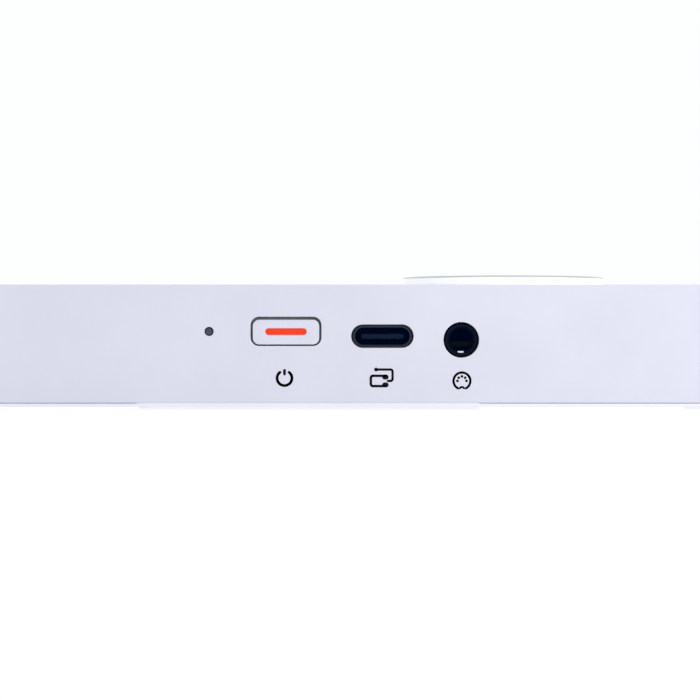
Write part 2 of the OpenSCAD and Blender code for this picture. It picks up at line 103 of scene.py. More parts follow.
def add(mat, kind, **settings):
    """A new node in a material or world: each setting names a socket, or else a property."""
    node = mat.node_tree.nodes.new("ShaderNode" + kind)
    for key, value in settings.items():
        if key in node.inputs.keys():
            node.inputs[key].default_value = value
        else:
            setattr(node, key, value)
    return node


def link(mat, out, into):
    mat.node_tree.links.new(out, into)


def place(mat, stretch=(1, 1, 1)):
    """The surface's own coordinates in metres, stretched along each axis."""
    coord = add(mat, "TexCoord")
    mapping = add(mat, "Mapping", Scale=stretch)
    link(mat, coord.outputs["Object"], mapping.inputs["Vector"])
    return mapping.outputs[0]


def noise(mat, size, detail=3, stretch=(1, 1, 1)):
    """A noise field from 0 to 1 whose features are about size across."""
    node = add(mat, "TexNoise", Scale=1 / size, Detail=detail, Roughness=0.55)
    link(mat, place(mat, stretch), node.inputs["Vector"])
    return node.outputs[0]


def between(mat, field, low, high, start=0.3, end=0.7):
    """Maps a field onto the range low to high."""
    node = add(mat, "MapRange")
    ends = {"From Min": start, "From Max": end, "To Min": low, "To Max": high}
    for socket, value in ends.items():
        node.inputs[socket].default_value = value
    link(mat, field, node.inputs["Value"])
    return node.outputs[0]


def tint(mat, field, low, high, start=0.3, end=0.7):
    """Maps a field onto a ramp between two colours."""
    ramp = add(mat, "ValToRGB")
    ramp.color_ramp.elements[0].position = start
    ramp.color_ramp.elements[1].position = end
    ramp.color_ramp.elements[0].color = (*low, 1)
    ramp.color_ramp.elements[1].color = (*high, 1)
    link(mat, field, ramp.inputs[0])
    return ramp.outputs[0]


def bump(mat, shader, field, depth):
    node = add(mat, "Bump", Strength=1.0, Distance=depth)
    link(mat, field, node.inputs["Height"])
    link(mat, node.outputs[0], shader.inputs["Normal"])


def shade(colour, factor):
    return tuple(min(1, c * factor) for c in colour)


def colour_by(mat, shader, field, colour, low, high, start=0.3, end=0.7):
    """Colours the surface by a field, from low to high times the colour."""
    ramp = tint(mat, field, shade(colour, low), shade(colour, high), start, end)
    link(mat, ramp, shader.inputs["Base Color"])


def roughen_by(mat, shader, field, low, high):
    link(mat, between(mat, field, low, high), shader.inputs["Roughness"])


def moulded(name, colour, roughness=0.42, mottle=0.025, grain=0.22 * MM, depth=0.004 * MM,
            **values):
    """Moulded plastic: slight colour mottling, uneven sheen and a fine spark-eroded grain."""
    cloud_size, sheen_size, spread = 14 * MM, 3 * MM, 0.05
    mat, shader = material(name, **values)
    colour_by(mat, shader, noise(mat, cloud_size, 4), colour, 1 - mottle, 1 + mottle)
    roughen_by(mat, shader, noise(mat, sheen_size, 5), roughness - spread, roughness + spread)
    bump(mat, shader, noise(mat, grain, 2), depth)
    return mat


def brushed(name, colour, roughness=0.3, stretch=(1, 30, 30)):
    """Metal with fine parallel brush lines."""
    line_length, line_depth = 6 * MM, 0.003 * MM
    mat, shader = material(name, Metallic=1.0, Anisotropic=0.4)
    lines = noise(mat, line_length, 4, stretch)
    colour_by(mat, shader, lines, colour, 0.88, 1.08)
    roughen_by(mat, shader, lines, roughness - 0.06, roughness + 0.1)
    bump(mat, shader, lines, line_depth)
    return mat


def turned(name, colour, centre):
    """Metal turned on a lathe: fine circles about an upright axis, and a bright film at a slant."""
    circle_pitch, circle_depth = 0.12 * MM, 0.004 * MM
    mat, shader = material(name, Metallic=1.0, Sheen_Weight=1.0, Sheen_Roughness=0.25)
    coord = add(mat, "TexCoord")
    offset = add(mat, "VectorMath", operation="SUBTRACT")
    offset.inputs[1].default_value = (centre.x, centre.y, 0)
    flat = add(mat, "VectorMath", operation="MULTIPLY")
    flat.inputs[1].default_value = (1, 1, 0)
    radius = add(mat, "VectorMath", operation="LENGTH")
    scaled = add(mat, "Math", operation="MULTIPLY")
    scaled.inputs[1].default_value = 1 / circle_pitch
    circles = add(mat, "TexNoise", noise_dimensions="1D", Scale=1.0, Detail=3)
    link(mat, coord.outputs["Object"], offset.inputs[0])
    link(mat, offset.outputs[0], flat.inputs[0])
    link(mat, flat.outputs[0], radius.inputs[0])
    link(mat, radius.outputs["Value"], scaled.inputs[0])
    link(mat, scaled.outputs[0], circles.inputs["W"])
    field = circles.outputs[0]
    colour_by(mat, shader, field, colour, 0.9, 1.06)
    roughen_by(mat, shader, field, 0.22, 0.36)
    bump(mat, shader, field, circle_depth)
    return mat


def felted(name, colour):
    """Pressed felt: matted fibres and a soft nap."""
    fibre_size, nap_depth = 0.35 * MM, 0.18 * MM
    mat, shader = material(name, Roughness=0.95, Sheen_Weight=0.6, Sheen_Roughness=0.5)
    fibres = noise(mat, fibre_size, 6, (1, 1.6, 1.3))
    colour_by(mat, shader, fibres, colour, 0.6, 1.35)
    bump(mat, shader, fibres, nap_depth)
    return mat


def circuit(name, mask):
    """Solder mask with raised, paler traces running in two directions."""
    trace_pitch, trace_height = 9 * MM, 0.03 * MM
    mat, shader = material(name, Roughness=0.32, Coat_Weight=0.3)
    traces = []
    for stretch, direction in (((1, 1, 1), "X"), ((1, 1.3, 1), "Y")):
        wave = add(mat, "TexWave", bands_direction=direction, Scale=1 / trace_pitch,
                   Distortion=2.5, Detail=1)
        link(mat, place(mat, stretch), wave.inputs["Vector"])
        traces.append(between(mat, wave.outputs["Fac"], 0, 1, 0.82, 0.88))
    either = add(mat, "Math", operation="MAXIMUM")
    link(mat, traces[0], either.inputs[0])
    link(mat, traces[1], either.inputs[1])
    colour_by(mat, shader, either.outputs[0], mask, 1, 1.7, 0.2, 0.8)
    bump(mat, shader, either.outputs[0], trace_height)
    return mat


SHELL = (0.658, 0.661, 0.772)

# A plastic's numbers are its roughness, its mottle, and its grain's size and depth.
LOOK = {
    "shell": moulded("shell plastic", SHELL, 0.42),
    # The tray's plastic is the shell colour made paler: painted light from the bright floor below.
    "under": moulded("under plastic painted paler", shade(SHELL, 1.2), 0.5, grain=0.3 * MM, depth=0.01 * MM),
    "white key": moulded("white key plastic", (0.77, 0.775, 0.79), 0.22, 0.012, 1.2 * MM,
                         0.002 * MM, Coat_Weight=0.4, Coat_Roughness=0.08),
    "black key": moulded("black key plastic", (0.009, 0.009, 0.011), 0.36, 0.12, 0.15 * MM,
                         0.004 * MM, Specular_IOR_Level=0.24),
    "button": moulded("button plastic", (0.78, 0.79, 0.84), 0.35),
    "dial": moulded("dial plastic", (0.90, 0.915, 0.91), 0.32, 0.012),
    # The dial's side glows faintly: painted light that makes it as white as the room behind it.
    "dial side": moulded("dial side with painted glow", (0.965, 0.985, 0.975), 0.4, 0.008,
                         Emission_Color=(0.98, 1.0, 0.99, 1), Emission_Strength=0.22),
    "grille": moulded("grille plastic", shade(SHELL, 0.86), 0.45),
    "frame": moulded("frame plastic", (0.11, 0.12, 0.145), 0.5, 0.15, 0.4 * MM, 0.02 * MM),
    "black": moulded("black plastic", (0.0012, 0.004, 0.014), 0.3, 0.2, 0.2 * MM, 0.003 * MM,
                     Specular_IOR_Level=0.06),
    # Painted shade with a faint painted blue glow, for the deep insides of the ports.
    "inside": moulded("painted shade inside", (0.001, 0.006, 0.035), 0.6, 0.2, 0.3 * MM, 0.003 * MM,
                      Specular_IOR_Level=0.0, Emission_Color=(0.0, 0.16, 1.0, 1),
                      Emission_Strength=0.009),
    # A dark skirt and sleeve: partly a real light seal, partly painted shade for the gaps round the
    # power cap and the status light.
    "seal_and_gap_shade": moulded("dark seal", (0.01, 0.01, 0.013), 0.8, 0.2, 0.2 * MM, 0.01 * MM,
                    Specular_IOR_Level=0.1),
    "tongue": moulded("tongue plastic", (0.003, 0.011, 0.033), 0.4, 0.2, 0.2 * MM, 0.003 * MM,
                      Specular_IOR_Level=0.06),
    "silicone": moulded("silicone rubber", (0.76, 0.765, 0.82), 0.6, 0.03, 0.5 * MM, 0.01 * MM,
                        Subsurface_Weight=0.15, Subsurface_Scale=0.6 * MM),
    # The feet glow faintly: painted light that brightens them in the shade under the tray.
    "foot": moulded("foot rubber with painted glow", (0.93, 0.94, 0.96), 0.6, 0.02, 0.5 * MM, 0.01 * MM,
                    Emission_Color=(0.96, 0.97, 1.0, 1), Emission_Strength=0.3),
    "ink": moulded("printing ink", (0.006, 0.006, 0.016), 0.5, 0.2, 0.1 * MM, 0.001 * MM,
                   Specular_IOR_Level=0.1),
    "lens": moulded("smoked lens", (0.034, 0.034, 0.062), 0.2, 0.1, 0.3 * MM, 0.001 * MM,
                    Coat_Weight=0.25, Coat_Roughness=0.1),
    "light": moulded("orange light", (0.86, 0.046, 0.010), 0.4, 0.05, 0.4 * MM, 0.002 * MM,
                     Specular_IOR_Level=0.1, Emission_Color=(1.0, 0.03, 0.004, 1),
                     Emission_Strength=0.14),
    "wrap": moulded("battery wrap", (0.03, 0.05, 0.085), 0.22, 0.15, 2.5 * MM, 0.08 * MM),
    "cone": moulded("speaker cone", (0.012, 0.012, 0.013), 0.8, 0.3, 0.3 * MM, 0.03 * MM),
    "steel": brushed("plated steel", (0.55, 0.56, 0.58)),
    "port metal": brushed("dark nickel", (0.040, 0.043, 0.058), 0.34, (30, 1, 30)),
    "contact": brushed("bright contact", (0.88, 0.90, 0.94), 0.25, (30, 1, 30)),
    "gold": brushed("gold contact", (0.60, 0.42, 0.18), 0.3, (30, 1, 30)),
    "pot": brushed("sensor case", (0.30, 0.31, 0.33), 0.4),
    "ring": turned("turned aluminium", (0.70, 0.71, 0.705), DIAL),
    "felt": felted("red felt", (0.27, 0.012, 0.02)),
    "board": circuit("circuit board", (0.008, 0.075, 0.035)),
}


# ---- Mesh tools ----

def finish_mesh(name, bm, mat, body, stands_for=(), sharp=32):
    """Turns mesh code into a shaded piece on its body. A list of materials goes by face index."""
    bmesh.ops.recalc_face_normals(bm, faces=bm.faces)
    mesh = bpy.data.meshes.new(name)
    bm.to_mesh(mesh)
    bm.free()
    for m in mat if isinstance(mat, list) else [mat]:
        mesh.materials.append(m)
    mesh.polygons.foreach_set("use_smooth", [True] * len(mesh.polygons))
    mesh.set_sharp_from_angle(angle=math.radians(sharp))
    piece = bpy.data.objects.new(name, mesh)
    bpy.context.scene.collection.objects.link(piece)
    weighted = piece.modifiers.new("weighted normals", "WEIGHTED_NORMAL")
    weighted.keep_sharp = True
    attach(piece, body)
    if stands_for:
        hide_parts(*stands_for)
    return piece


def welded(node):
    """The CAD node's surface as one welded mesh with its flat faces joined up."""
    weld, sliver, flat = 0.002 * MM, 0.001 * MM, math.radians(0.5)
    bm = bmesh.new()
    bm.from_mesh(NODES[node].data)
    bmesh.ops.remove_doubles(bm, verts=bm.verts, dist=weld)
    bmesh.ops.dissolve_degenerate(bm, edges=bm.edges, dist=sliver)
    bmesh.ops.dissolve_limit(bm, angle_limit=flat, verts=bm.verts, edges=bm.edges)
    return bm


def is_crisp(edge):
    """True for an outside edge that is sharp enough to be rounded."""
    sharp = math.radians(28)
    return len(edge.link_faces) == 2 and edge.is_convex and edge.calc_face_angle() >= sharp


def round_edges(bm, radius, wanted, segments=3):
    """Rounds the crisp edges whose two ends pass the test."""
    edges = [e for e in bm.edges if is_crisp(e) and wanted(*(v.co for v in e.verts))]
    if edges:
        bmesh.ops.bevel(bm, geom=edges, offset=radius, offset_type="OFFSET", segments=segments,
                        profile=0.5, affect="EDGES", clamp_overlap=True, harden_normals=False)


def loft(bm, rings):
    """Joins rings of equally many points with faces, and closes both ends."""
    made = [[bm.verts.new(p) for p in ring] for ring in rings]
    count = len(made[0])
    for a, b in zip(made, made[1:]):
        for i in range(count):
            j = (i + 1) % count
            bm.faces.new((a[i], a[j], b[j], b[i]))
    bm.faces.new(made[0])
    bm.faces.new(made[-1])


def lathe(bm, profile, centre, axis="Z", steps=64):
    """Turns (radius, height) points about an axis through centre. A radius of 0 makes a pole."""
    rings = []
    for r, h in profile:
        count = 1 if r == 0 else steps
        ring = []
        for i in range(count):
            a = 2 * math.pi * i / steps
            u, v = r * math.cos(a), r * math.sin(a)
            p = (u, v, h) if axis == "Z" else (u, h, v)
            ring.append(bm.verts.new(centre + Vector(p)))
        rings.append(ring)
    for a, b in zip(rings, rings[1:]):
        for i in range(steps):
            j = (i + 1) % steps
            corners = [a[i % len(a)], a[j % len(a)], b[j % len(b)], b[i % len(b)]]
            face = list(dict.fromkeys(corners))
            if len(face) > 2:
                bm.faces.new(face)


def fillet(r0, h0, r1, h1, steps=4, bulge=True):
    """(radius, height) points along a quarter ellipse from one corner point to the other."""
    points = []
    for i in range(steps + 1):
        a = math.pi / 2 * i / steps
        if bulge:
            points.append((r0 + (r1 - r0) * (1 - math.cos(a)), h0 + (h1 - h0) * math.sin(a)))
        else:
            points.append((r0 + (r1 - r0) * math.sin(a), h0 + (h1 - h0) * (1 - math.cos(a))))
    return points


def round_box(w, d, r, steps=6):
    """Points round a w by d rectangle with corners of radius r, counter-clockwise."""
    points = []
    for sx, sy, start in ((1, 1, 0), (-1, 1, 90), (-1, -1, 180), (1, -1, 270)):
        for i in range(steps + 1):
            a = math.radians(start + 90 * i / steps)
            points.append((sx * (w / 2 - r) + r * math.cos(a), sy * (d / 2 - r) + r * math.sin(a)))
    return points


def pill(w, h, steps):
    """Points round a strip with fully round ends, a hair short of meeting at their tips."""
    return round_box(w, h, h / 2 - 0.002 * MM, steps)


def ring_at(outline, centre, height, axis="Z"):
    """An outline's points in a plane across the axis."""
    if axis == "Z":
        return [Vector((centre.x + u, centre.y + v, height)) for u, v in outline]
    return [Vector((centre.x + u, height, centre.z + v)) for u, v in outline]


# ---- Housing ----

def make_top_cover():
    """The deck with its outside edges rounded, finely round the ports and at the seams."""
    bm = welded("top_cover")
    side = COVER_HI.x - 8 * MM

    def at_port(p, q):
        low, high = COVER_LO.z + MM, DECK - MM
        return all(v.y > REAR - TINY and low < v.z < high and abs(v.x) < side for v in (p, q))

    def in_deck(p, q):
        return all(v.z > DECK - TINY and DECK_FRONT + MM < v.y < REAR - 2 * MM
                   and abs(v.x) < side for v in (p, q))

    def at_front(p, q):
        outside = min(abs(p.x), abs(q.x)) > COVER_HI.x - TINY
        return max(p.y, q.y) < DECK_FRONT + TINY and (outside or min(p.z, q.z) > DECK - TINY)

    def low_edge(p, q):
        return max(p.z, q.z) < COVER_LO.z + TINY and all(
            abs(v.x) > COVER_HI.x - CORNER_REACH or v.y > REAR - TINY for v in (p, q))

    def top_edge(p, q):
        behind_front = max(p.y, q.y) > DECK_FRONT + MM
        return min(p.z, q.z) > DECK - 0.3 * MM and behind_front and not in_deck(p, q)

    round_edges(bm, 0.12 * MM, at_port)
    round_edges(bm, 0.22 * MM, in_deck)
    round_edges(bm, 0.15 * MM, at_front)
    round_edges(bm, 0.06 * MM, low_edge)
    round_edges(bm, 0.4 * MM, top_edge, segments=4)
    finish_mesh("deck_and_rear_shell", bm, LOOK["shell"], "root", ["top_cover"])


def make_surround():
    """The cheeks and front rail, rounded along their tops and finely where they meet the deck."""
    bm = welded("key_surround")
    lo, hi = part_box("key_surround")
    rail_front, rail_back = lo.y + 0.2 * MM, lo.y + 3.4 * MM
    mid_height = DECK - 10.2 * MM

    def on_corner(v):
        across, along = abs(v.x) - (hi.x - CORNER_R), lo.y + CORNER_R - v.y
        return min(across, along) > 0 and math.hypot(across, along) > CORNER_R - 0.1 * MM

    def at_seam(p, q):
        return min(p.y, q.y) > hi.y - TINY and (
            min(abs(p.x), abs(q.x)) > hi.x - TINY or min(p.z, q.z) > DECK - TINY)

    def low_edge(p, q):
        return max(p.z, q.z) < lo.z + TINY and all(
            abs(v.x) > hi.x - CORNER_REACH or v.y < lo.y + TINY for v in (p, q))

    def top_edge(p, q):
        in_rail = all(rail_front < v.y < rail_back for v in (p, q))
        return min(p.z, q.z) > mid_height and min(p.y, q.y) < hi.y - TINY and (
            not in_rail or (on_corner(p) and on_corner(q)))

    round_edges(bm, 0.15 * MM, at_seam)
    round_edges(bm, 0.06 * MM, low_edge)
    round_edges(bm, 0.35 * MM, top_edge, segments=4)
    finish_mesh("cheeks_and_rail", bm, LOOK["shell"], "root", ["key_surround"])


def make_bottom_cover():
    """The tray, in plastic painted paler as if lit from the floor below, with the outer edge of its
    underside rounded.
    """
    bm = welded("bottom_cover")
    lo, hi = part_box("bottom_cover")

    def on_outline(v):
        return abs(v.x) > hi.x - CORNER_REACH or abs(v.y) > hi.y - 2 * TINY

    def low_edge(p, q):
        return max(p.z, q.z) < lo.z + TINY and on_outline(p) and on_outline(q)

    round_edges(bm, 0.25 * MM, low_edge)
    finish_mesh("base_tray", bm, LOOK["under"], "root", ["bottom_cover"])


def make_feet():
    """Moulded rubber strips with a softly rounded sole: three at the front, three at the rear.
    Their rubber glows with painted light.
    """
    bm = bmesh.new()
    lo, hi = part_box("rubber_feet")
    long_half, short_half, short_mid = 112.9 * MM, 16.2 * MM, 182.3 * MM
    depth = 8 * MM
    sole = [(0.3 * MM, 0), (0.12 * MM, 0.04 * MM), (0.03 * MM, 0.12 * MM), (0, 0.2 * MM), (0, hi.z)]
    for y in (lo.y + depth / 2, hi.y - depth / 2):
        for x, half in ((-short_mid, short_half), (0, long_half), (short_mid, short_half)):
            rings = []
            for inset, z in sole:
                outline = round_box(2 * (half - inset), depth - 2 * inset,
                                    depth / 2 - inset - TINY, 8)
                rings.append(ring_at(outline, Vector((x, y, 0)), z))
            loft(bm, rings)
    finish_mesh("foot_strips", bm, LOOK["foot"], "root", ["rubber_feet"])


def make_grilles():
    """The speaker grilles with their top edges rounded."""
    bm = welded("speaker_grilles")
    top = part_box("speaker_grilles")[1].z
    round_edges(bm, 0.15 * MM, lambda p, q: min(p.z, q.z) > top - TINY, segments=2)
    finish_mesh("grille_inserts", bm, LOOK["grille"], "root", ["speaker_grilles"])


# ---- Keys ----

def make_key(node):
    """A key with the soft edges of a polished moulding."""
    bm = welded(node)
    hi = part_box(node)[1]
    if SLOT_OF[node] == "black_keys":
        look = LOOK["black key"]
        low = DECK - 7.2 * MM
        round_edges(bm, 0.32 * MM, lambda p, q: min(p.z, q.z) > low and p.y < DECK_FRONT)
    else:
        look = LOOK["white key"]
        low, back = hi.z - 2.1 * MM, hi.y - 14 * MM
        round_edges(bm, 0.45 * MM, lambda p, q: min(p.z, q.z) > low and max(p.y, q.y) < back,
                    segments=4)
    finish_mesh(node + "_cap", bm, look, BODY_OF[node], [node])


def make_felt():
    """The felt strips in their CAD shape. Their nap is in the material."""
    bm = welded("felt_strips")
    bmesh.ops.triangulate(bm, faces=bm.faces)
    finish_mesh("felt_rest_and_stop", bm, LOOK["felt"], "root", ["felt_strips"])


def make_dome_web():
    """The rubber contact strip's thin web."""
    lo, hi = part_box("dome_strip")
    edge, corner = 0.1 * MM, MM
    bm = bmesh.new()
    rings = []
    for inset, z in ((edge, lo.z), (0, lo.z + edge), (0, DOME_WEB - edge), (edge, DOME_WEB)):
        outline = round_box(hi.x - lo.x - 2 * inset, hi.y - lo.y - 2 * inset, corner - inset)
        rings.append(ring_at(outline, (lo + hi) / 2, z))
    loft(bm, rings)
    finish_mesh("dome_web", bm, LOOK["silicone"], "root", ["dome_strip"])


def dome_spots():
    """The middle of each dome's foot, left to right, found from the dome tops of the CAD strip."""
    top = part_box("dome_strip")[1].z
    gap_between = 2 * MM
    tops = [v.co for v in NODES["dome_strip"].data.vertices if v.co.z > top - 0.05 * MM]
    y = (min(v.y for v in tops) + max(v.y for v in tops)) / 2
    domes = []
    for x in sorted(v.x for v in tops):
        if not domes or x - domes[-1][-1] > gap_between:
            domes.append([])
        domes[-1].append(x)
    return [Vector(((xs[0] + xs[-1]) / 2, y, DOME_WEB)) for xs in domes]


def make_domes():
    """A rubber dome under each key, each with a mesh of its own."""
    profile = [(0, 0), (3.6, 0), (3.5, 0.25), (2.75, 1.6), (2.5, 1.85), (1.95, 1.95), (1.9, 2.1),
               (1.9, 2.65), (1.75, 2.8), (0, 2.8)]
    left_to_right = sorted(KEYS, key=lambda node: middle(node).x)
    for key, spot in zip(left_to_right, dome_spots()):
        bm = bmesh.new()
        lathe(bm, [(r * MM, h * MM) for r, h in profile], spot, steps=32)
        dome = finish_mesh(key + "_dome", bm, LOOK["silicone"], "root")
        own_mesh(dome)


# ---- Controls on the deck ----

def make_dial_cap():
    """The dial's cap with a finger dimple in its face, its side that glows with painted light, and
    its stem.
    """
    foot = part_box("volume_dial")[0].z
    ring_lo, ring_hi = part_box("dial_ring")
    stem_r, chamfer = 3 * MM, 0.3 * MM
    skirt, side_r = DECK - 0.35 * MM, DIAL_R - 0.02 * MM
    face_z, face_r, face_steps = ring_hi.z - 0.06 * MM, RING_INNER_R - 0.14 * MM, 26
    profile = [(0, foot), (stem_r - chamfer, foot), (stem_r, foot + chamfer), (stem_r, skirt)]
    profile += fillet(DIAL_R - 0.5 * MM, skirt, side_r, skirt + 0.3 * MM, bulge=False)
    profile += [(side_r, ring_lo.z), (RING_INNER_R, ring_lo.z)]
    profile += fillet(RING_INNER_R, ring_hi.z - 0.2 * MM, face_r, face_z)
    profile += [(face_r * (1 - i / face_steps), face_z) for i in range(1, face_steps + 1)]
    bm = bmesh.new()
    lathe(bm, profile, Vector((DIAL.x, DIAL.y, 0)), steps=128)

    dimple, dimple_r, dimple_depth = DIAL.xy + Vector((0, 9.6 * MM)), 4.2 * MM, 0.75 * MM
    for v in bm.verts:
        away = (v.co.xy - dimple).length / dimple_r
        if v.co.z > ring_hi.z - 0.1 * MM and away < 1:
            v.co.z -= dimple_depth * (1 - away * away) ** 1.5
    # The side faces take the glowing material, which is painted light.
    for face in bm.faces:
        centre = face.calc_center_median()
        at_side = math.hypot(centre.x - DIAL.x, centre.y - DIAL.y) > DIAL_R - 0.4 * MM
        face.material_index = int(at_side and centre.z > DECK - 0.2 * MM)
    finish_mesh("dial_cap", bm, [LOOK["dial"], LOOK["dial side"]], "volume_dial",
                ["volume_dial"])


def make_dial_ring():
    """The turned metal ring round the dial's rim."""
    lo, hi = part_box("dial_ring")
    chamfer = 0.06 * MM
    profile = [(RING_INNER_R, lo.z), (DIAL_R, lo.z), (DIAL_R, hi.z - chamfer),
               (DIAL_R - chamfer, hi.z), (RING_INNER_R + chamfer, hi.z),
               (RING_INNER_R, hi.z - chamfer), (RING_INNER_R, lo.z)]
    bm = bmesh.new()
    lathe(bm, profile, Vector((DIAL.x, DIAL.y, 0)), steps=160)
    bmesh.ops.remove_doubles(bm, verts=bm.verts, dist=0.001 * MM)
    finish_mesh("dial_rim_ring", bm, LOOK["ring"], "volume_dial", ["dial_ring"], 20)


def make_button(node):
    """A round cap with a dished top, its flange and its stem."""
    lo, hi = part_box(node)
    stem_r, flange_r = 1.6 * MM, (hi.x - lo.x) / 2
    flange_lo, flange_hi = lo.z + 0.7 * MM, lo.z + 1.7 * MM
    cap_r, edge_r = flange_r - MM, 0.45 * MM
    dish_r, dish_depth, dish_steps = cap_r - edge_r, 0.22 * MM, 10
    profile = [(0, lo.z), (stem_r, lo.z), (stem_r, flange_lo), (flange_r, flange_lo),
               (flange_r, flange_hi), (cap_r, flange_hi)]
    profile += fillet(cap_r, hi.z - edge_r, dish_r, hi.z)
    for i in range(1, dish_steps + 1):
        out = 1 - i / dish_steps
        profile.append((dish_r * out, hi.z - dish_depth * (1 - out ** 2) ** 2))
    bm = bmesh.new()
    lathe(bm, profile, Vector((middle(node).x, middle(node).y, 0)))
    finish_mesh(node + "_cap", bm, LOOK["button"], BODY_OF[node], [node])


# ---- Rear ports ----

def make_power_cap():
    """The cap: a face in cover plastic with a recess for its light bar, and a dark skirt that also
    paints the shade in the gap round the cap.
    """
    lo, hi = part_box("power_button")
    bar_lo, bar_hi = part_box("power_light")
    bar_w, bar_h = bar_hi.x - bar_lo.x, bar_hi.z - bar_lo.z
    w, h, r, corner_steps = 10.3 * MM, 3.86 * MM, MM, 10
    face_mid = POWER - Vector((0, 0, 0.07 * MM))
    face_edge = [(0, 3.7), (0, 0.55), (0, 0.2), (0.02, 0.1), (0.07, 0.03), (0.16, 0)]
    recess = [(0.08, 0), (0.03, 0.02), (0, 0.07), (0, 0.4)]
    rings = []
    for inset, depth in face_edge:
        inset *= MM
        outline = round_box(w - 2 * inset, h - 2 * inset, r - inset, corner_steps)
        rings.append(ring_at(outline, face_mid, REAR - depth * MM, "Y"))
    for spread, depth in recess:
        spread *= MM
        outline = pill(bar_w + 2 * spread, bar_h + 2 * spread, corner_steps)
        rings.append(ring_at(outline, POWER, REAR - depth * MM, "Y"))
    bm = bmesh.new()
    loft(bm, rings)

    flange_y, flange_top, flange_thick = REAR - 2.3 * MM, POWER.z + 2.6 * MM, 1.2 * MM
    flange_mid = Vector((POWER.x, 0, (lo.z + flange_top) / 2))
    outline = round_box(hi.x - lo.x, flange_top - lo.z, 0.3 * MM, 4)
    loft(bm, [ring_at(outline, flange_mid, y, "Y") for y in (flange_y - flange_thick, flange_y)])
    stem_r, chamfer = 1.4 * MM, 0.2 * MM
    stem = [(0, lo.y), (stem_r - chamfer, lo.y), (stem_r, lo.y + chamfer), (stem_r, flange_y)]
    lathe(bm, stem, Vector((POWER.x, 0, POWER.z)), "Y", 32)

    # The cap's sides deep in its hole take the dark seal, which also paints the gap's shade.
    for face in bm.faces:
        centre = face.calc_center_median()
        off_bar = abs(centre.x - POWER.x) > bar_w / 2 + MM or abs(centre.z - POWER.z) > bar_h
        face.material_index = int(centre.y < REAR - 0.5 * MM and off_bar)
    finish_mesh("power_cap", bm, [LOOK["shell"], LOOK["seal_and_gap_shade"]], "power_button",
                ["power_button"])


def make_power_light():
    """The light bar in the cap's recess, with a softly rounded face."""
    lo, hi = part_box("power_light")
    w, h = hi.x - lo.x, hi.z - lo.z
    back, gap = REAR - 0.36 * MM, 0.02 * MM
    levels = [(gap, back), (gap, hi.y - 0.08 * MM), (0.05 * MM, hi.y - 0.02 * MM),
              (0.12 * MM, hi.y)]
    bm = bmesh.new()
    loft(bm, [ring_at(pill(w - 2 * inset, h - 2 * inset, 8), POWER, y, "Y") for inset, y in levels])
    finish_mesh("power_light_bar", bm, LOOK["light"], "power_button",
                ["power_light"])


def make_status_light():
    """A smoked light pipe with a domed end and a dark sleeve that paints the shade of the gap round
    the lens, on its block on the board.
    """
    lo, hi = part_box("status_light")
    pipe_r, lens_r, flat_r = 0.66 * MM, 0.5 * MM, 0.3 * MM
    pipe_back, dome_y = lo.y + 1.5 * MM, hi.y - 0.16 * MM
    profile = [(0, pipe_back), (pipe_r, pipe_back)]
    profile += fillet(pipe_r, dome_y, flat_r, hi.y - TINY, 5)
    profile += [(0, hi.y)]
    bm = bmesh.new()
    lathe(bm, profile, Vector((LED.x, 0, LED.z)), "Y", 48)
    # The pipe's rim round the lens takes the dark sleeve: painted shade of the gap.
    for face in bm.faces:
        centre = face.calc_center_median()
        face.material_index = int(math.hypot(centre.x - LED.x, centre.z - LED.z) > lens_r)
    block, block_mid = round_box(2.4 * MM, 2 * MM, 0.3 * MM), Vector((LED.x, lo.y + MM, 0))
    loft(bm, [ring_at(block, block_mid, z) for z in (lo.z, hi.z)])
    finish_mesh("status_light_pipe", bm, [LOOK["lens"], LOOK["seal_and_gap_shade"]], "root",
                ["status_light"])


def make_usb_shell():
    """The rolled shell with its flared lip, its inside painted dark as shade, and its four solder
    tabs.
    """
    lo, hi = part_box("usb_shell")
    w, h, wall, length = 8.94 * MM, 3.16 * MM, 0.3 * MM, hi.y - lo.y
    lip = [(0, 0.62), (-0.14, 0.36), (-0.17, 0.1), (-0.12, 0.03), (-0.03, 0), (0.12, 0),
           (0.22, 0.03), (0.27, 0.1)]
    levels = [(0, length)] + [(inset * MM, depth * MM) for inset, depth in lip]
    levels += [(wall, 0.2 * MM), (wall, length - 0.6 * MM)]
    rings = []
    for inset, depth in levels:
        outline = round_box(w - 2 * inset, h - 2 * inset, h / 2 - inset - TINY, 12)
        rings.append(ring_at(outline, USB, hi.y - depth, "Y"))
    bm = bmesh.new()
    loft(bm, rings)
    inner_r = h / 2 - wall + 0.02 * MM
    # The faces deep inside the shell take the painted shade.
    for face in bm.faces:
        centre = face.calc_center_median()
        across = max(abs(centre.x - USB.x) - (w - h) / 2, 0)
        inside = math.hypot(across, centre.z - USB.z) < inner_r
        face.material_index = int(inside and lo.y + 0.1 * MM < centre.y < hi.y - 0.12 * MM)

    tab, tab_height = round_box(MM, 1.4 * MM, 0.2 * MM), 1.6 * MM
    for side in (-1, 1):
        for y in (lo.y + 1.3 * MM, hi.y - 2.9 * MM):
            spot = Vector((USB.x + side * (w / 2 + 0.3 * MM), y, 0))
            loft(bm, [ring_at(tab, spot, z) for z in (BOARD, BOARD + tab_height)])
    finish_mesh("usb_port_shell", bm, [LOOK["port metal"], LOOK["inside"]], "root",
                ["usb_shell"])


